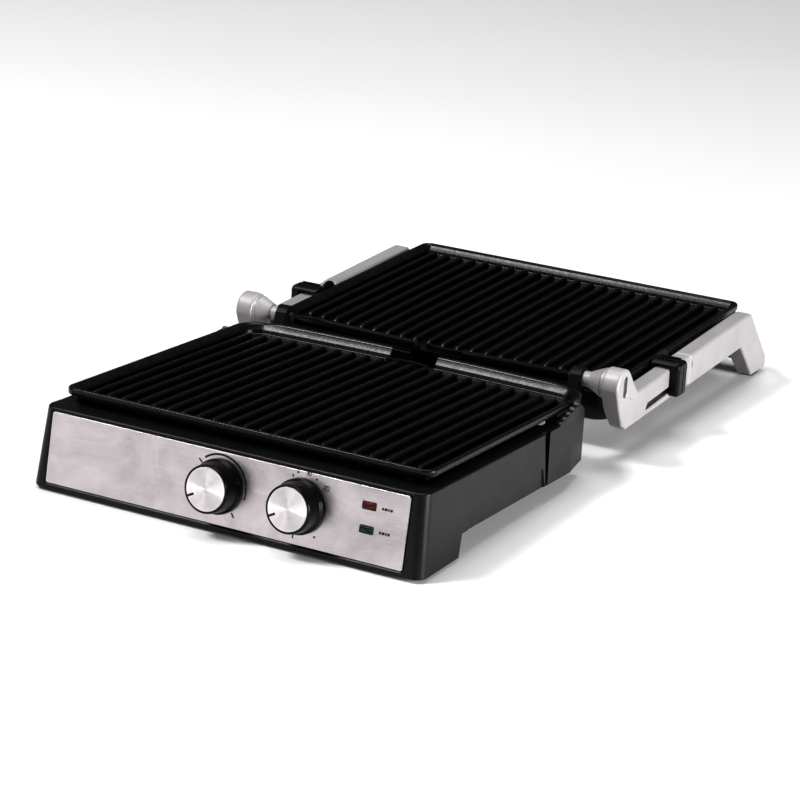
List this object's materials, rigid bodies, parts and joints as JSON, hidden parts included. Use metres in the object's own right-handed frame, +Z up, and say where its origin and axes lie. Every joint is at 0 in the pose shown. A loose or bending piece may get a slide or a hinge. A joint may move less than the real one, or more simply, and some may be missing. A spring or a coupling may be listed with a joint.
{
  "type": "panini press",
  "caption": "Contact grill opened flat: box base with controls, ribbed plates on both halves, and a floating upper half on a U-shaped handle.",
  "frame": {"origin": "centre of the overall bounding box in X and Y, on the worktop plane under the feet", "axes": "+X to the press's right seen from the control panel, +Y from the control panel to the back, +Z up"},
  "size_m": [0.3332, 0.5828, 0.0721],
  "materials": {
    "black_plastic": "fine-textured black",
    "brushed_steel": "brushed",
    "lens_red": "tinted lens",
    "lens_green": "tinted lens",
    "ivory_plastic": "moulded",
    "heater_steel": "oxidised sheet and tube",
    "black_rubber": "moulded",
    "knob_black": "satin",
    "turned_aluminium": "turned face",
    "nonstick_coating": "black non-stick coating",
    "silver_paint": "pearl silver",
    "button_grey": "moulded"
  },
  "bodies": {
    "base": {"base_casing": "black_plastic", "front_panel": "brushed_steel", "control_carrier": "black_plastic", "lamp_lens_red": "lens_red", "lamp_lens_green": "lens_green", "lamp_holder": "ivory_plastic", "thermostat": "heater_steel", "timer": "ivory_plastic", "terminal_block": "ivory_plastic", "bottom_cover": "black_plastic", "bottom_screw_front_left": "brushed_steel", "bottom_screw_front_right": "brushed_steel", "bottom_screw_rear_left": "brushed_steel", "bottom_screw_rear_right": "brushed_steel", "cord_inlet_bush": "black_rubber", "lower_heater": "heater_steel", "lower_reflector": "heater_steel", "hinge_lug_left": "heater_steel", "hinge_lug_right": "heater_steel", "hinge_pin_left": "brushed_steel", "hinge_pin_right": "brushed_steel", "front_foot_pad_left": "black_rubber", "front_foot_pad_right": "black_rubber", "rear_foot_pad_left": "black_rubber", "rear_foot_pad_right": "black_rubber"},
    "handle_frame": {"arm_left": "silver_paint", "arm_right": "silver_paint", "handle_grip": "silver_paint", "leg_pad_left": "black_rubber", "leg_pad_right": "black_rubber"},
    "upper_head": {"upper_housing": "black_plastic", "lid_cover": "brushed_steel", "lid_screw_near_left": "brushed_steel", "lid_screw_near_right": "brushed_steel", "lid_screw_far_left": "brushed_steel", "lid_screw_far_right": "brushed_steel", "pivot_bracket_left": "black_plastic", "pivot_bracket_right": "black_plastic", "pivot_pin_left": "brushed_steel", "pivot_pin_right": "brushed_steel", "upper_heater": "heater_steel", "upper_reflector": "heater_steel"},
    "lower_plate": {"lower_grill_plate": "nonstick_coating"},
    "upper_plate": {"upper_grill_plate": "nonstick_coating"},
    "temperature_knob": {"knob_left": "knob_black", "knob_cap_left": "turned_aluminium"},
    "timer_knob": {"knob_right": "knob_black", "knob_cap_right": "turned_aluminium"},
    "tray": {"drip_tray": "black_plastic"},
    "hinge_release": {"hinge_release_button": "button_grey"}
  },
  "joints": [
    {"name": "arm_hinge", "type": "hinge", "parent": "base", "child": "handle_frame", "pos_m": [0, 0.0085, 0.0595], "axis": [1, 0, 0], "range_deg": [0, 176.7]},
    {"name": "head_pivot", "type": "hinge", "parent": "handle_frame", "child": "upper_head", "pos_m": [0, 0.099, 0.0384], "axis": [-1, 0, 0], "range_deg": [-10, 0]},
    {"name": "temperature_turn", "type": "hinge", "parent": "base", "child": "temperature_knob", "pos_m": [-0.0045, -0.2727, 0.0315], "axis": [0, 0.987, -0.1606], "range_deg": [0, 270]},
    {"name": "timer_turn", "type": "hinge", "parent": "base", "child": "timer_knob", "pos_m": [0.0575, -0.2727, 0.0315], "axis": [0, 0.987, -0.1606], "range_deg": [0, 270]},
    {"name": "lower_plate_lift", "type": "slide", "parent": "base", "child": "lower_plate", "axis": [0, -0.0401, -0.9992], "range_m": [-0.04, 0]},
    {"name": "upper_plate_lift", "type": "slide", "parent": "upper_head", "child": "upper_plate", "axis": [0, 0.0175, -0.9998], "range_m": [-0.03, 0]},
    {"name": "drip_tray_slide", "type": "slide", "parent": "base", "child": "tray", "axis": [0, 1, 0], "range_m": [0, 0.12]},
    {"name": "hinge_release_press", "type": "slide", "parent": "handle_frame", "child": "hinge_release", "axis": [-1, 0, 0], "range_m": [0, 0.002], "stiffness_N_per_m": 400, "springref_m": -0.002}
  ]
}
